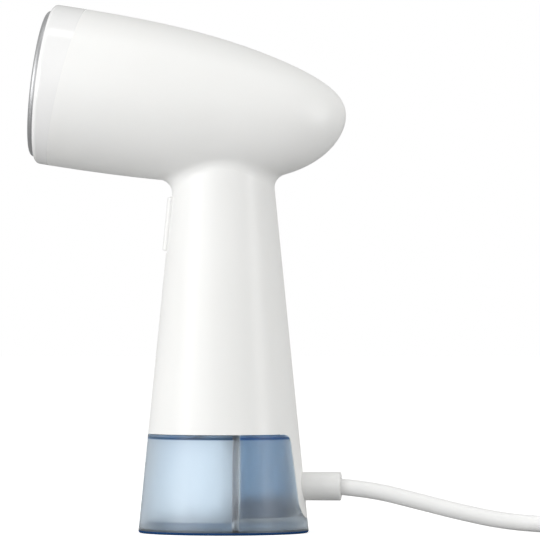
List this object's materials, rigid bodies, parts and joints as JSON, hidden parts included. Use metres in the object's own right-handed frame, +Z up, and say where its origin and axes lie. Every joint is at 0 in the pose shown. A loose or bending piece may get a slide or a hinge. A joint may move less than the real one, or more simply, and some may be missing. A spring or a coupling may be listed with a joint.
{
  "type": "handheld garment steamer",
  "caption": "Handheld garment steamer standing on its removable translucent blue water tank, with a tilted round head, metal steam plate, trigger and coiled mains lead.",
  "frame": {"origin": "centre of the flat face that the tank stands on", "axes": "+Z up, the steam plate faces -X, the mains lead leaves towards +X, +Y is across the grip"},
  "size_m": [0.3478, 0.1222, 0.2403],
  "materials": {
    "satin_white": "satin moulded ABS",
    "gloss_white": "polished moulded ABS",
    "plate_metal": "satin stainless steel",
    "cast_aluminium": "as cast",
    "silicone": "translucent silicone",
    "grey_plastic": "moulded, slightly matt",
    "black_plastic": "moulded",
    "red_plastic": "moulded",
    "steel": "zinc plated",
    "brass": "turned",
    "pin_metal": "nickel plated",
    "copper_winding": "enamelled copper wire",
    "wire_sleeve": "silicone sleeve",
    "board_green": "solder resist",
    "board_components": "moulded",
    "tank_blue": "translucent blue polycarbonate",
    "tank_base_blue": "translucent blue polycarbonate",
    "foot_rubber": "soft moulded pad",
    "white_gland": "moulded, soft edges",
    "white_lead": "smooth white PVC sheath",
    "tie_fabric": "hook and loop strap"
  },
  "bodies": {
    "casing": {"board_parts": "board_components", "boiler_bracket": "grey_plastic", "bracket_screws": "steel", "clamp_screws": "steel", "coil_tie": "tie_fabric", "column_screws": "steel", "control_board": "board_green", "cord_clamp": "grey_plastic", "cord_coil": "white_lead", "cord_gland": "white_gland", "cord_lead": "white_lead", "cord_tail": "white_lead", "detent_springs": "steel", "dock_nipple": "grey_plastic", "dock_plate": "grey_plastic", "dock_screws": "steel", "front_collar": "gloss_white", "heater_wires": "wire_sleeve", "heating_element": "steel", "inlet_elbow": "brass", "inner_sheath": "white_lead", "microswitch": "black_plastic", "plate_gasket": "silicone", "plate_screws": "steel", "plug_body": "white_lead", "plug_pins": "pin_metal", "plug_relief": "white_lead", "pump_body": "grey_plastic", "pump_coil": "copper_winding", "pump_frame": "steel", "pump_hose": "silicone", "pump_mounts": "silicone", "shell_left": "satin_white", "shell_right": "satin_white", "spine_column": "grey_plastic", "steam_chamber": "cast_aluminium", "steam_plate": "plate_metal", "suction_hose": "silicone", "supply_wires": "wire_sleeve", "switch_bracket": "grey_plastic", "thermal_fuse": "steel", "thermostat": "black_plastic", "trigger_pin": "steel", "trigger_spring": "steel"},
    "trigger_lever": {"trigger": "satin_white"},
    "switch_button": {"switch_plunger": "red_plastic"},
    "pump_plunger": {"pump_piston": "steel"},
    "tank": {"tank_shell": "tank_blue", "tank_base": "tank_base_blue", "foot_pad": "foot_rubber", "tank_seal": "silicone", "pickup_tube": "grey_plastic", "inlet_filter": "grey_plastic"},
    "cap": {"fill_cap": "grey_plastic", "cap_seal": "silicone"}
  },
  "joints": [
    {"name": "trigger_pull", "type": "hinge", "parent": "casing", "child": "trigger_lever", "pos_m": [-0.01653, 0, 0.1495], "axis": [0, -1, 0], "range_deg": [0, 3], "stiffness_Nm_per_rad": 4, "springref_deg": -1.72, "deforming": ["trigger_spring"]},
    {"name": "switch_press", "type": "slide", "parent": "casing", "child": "switch_button", "axis": [1, 0, 0], "range_m": [0, 0.00086]},
    {"name": "pump_stroke", "type": "slide", "parent": "casing", "child": "pump_plunger", "axis": [0, 0, 1], "range_m": [-0.001, 0.001], "stiffness_N_per_m": 1500},
    {"name": "tank_release", "type": "slide", "parent": "casing", "child": "tank", "axis": [0, 0, -1], "range_m": [0, 0.055], "deforming": ["detent_springs"]},
    {"name": "cap_pull", "type": "slide", "parent": "tank", "child": "cap", "axis": [0, 0, 1], "range_m": [0, 0.007]}
  ],
  "couplings": [
    {"joint": "switch_press", "follows": "trigger_pull", "m_per_rad": 0.0164}
  ]
}
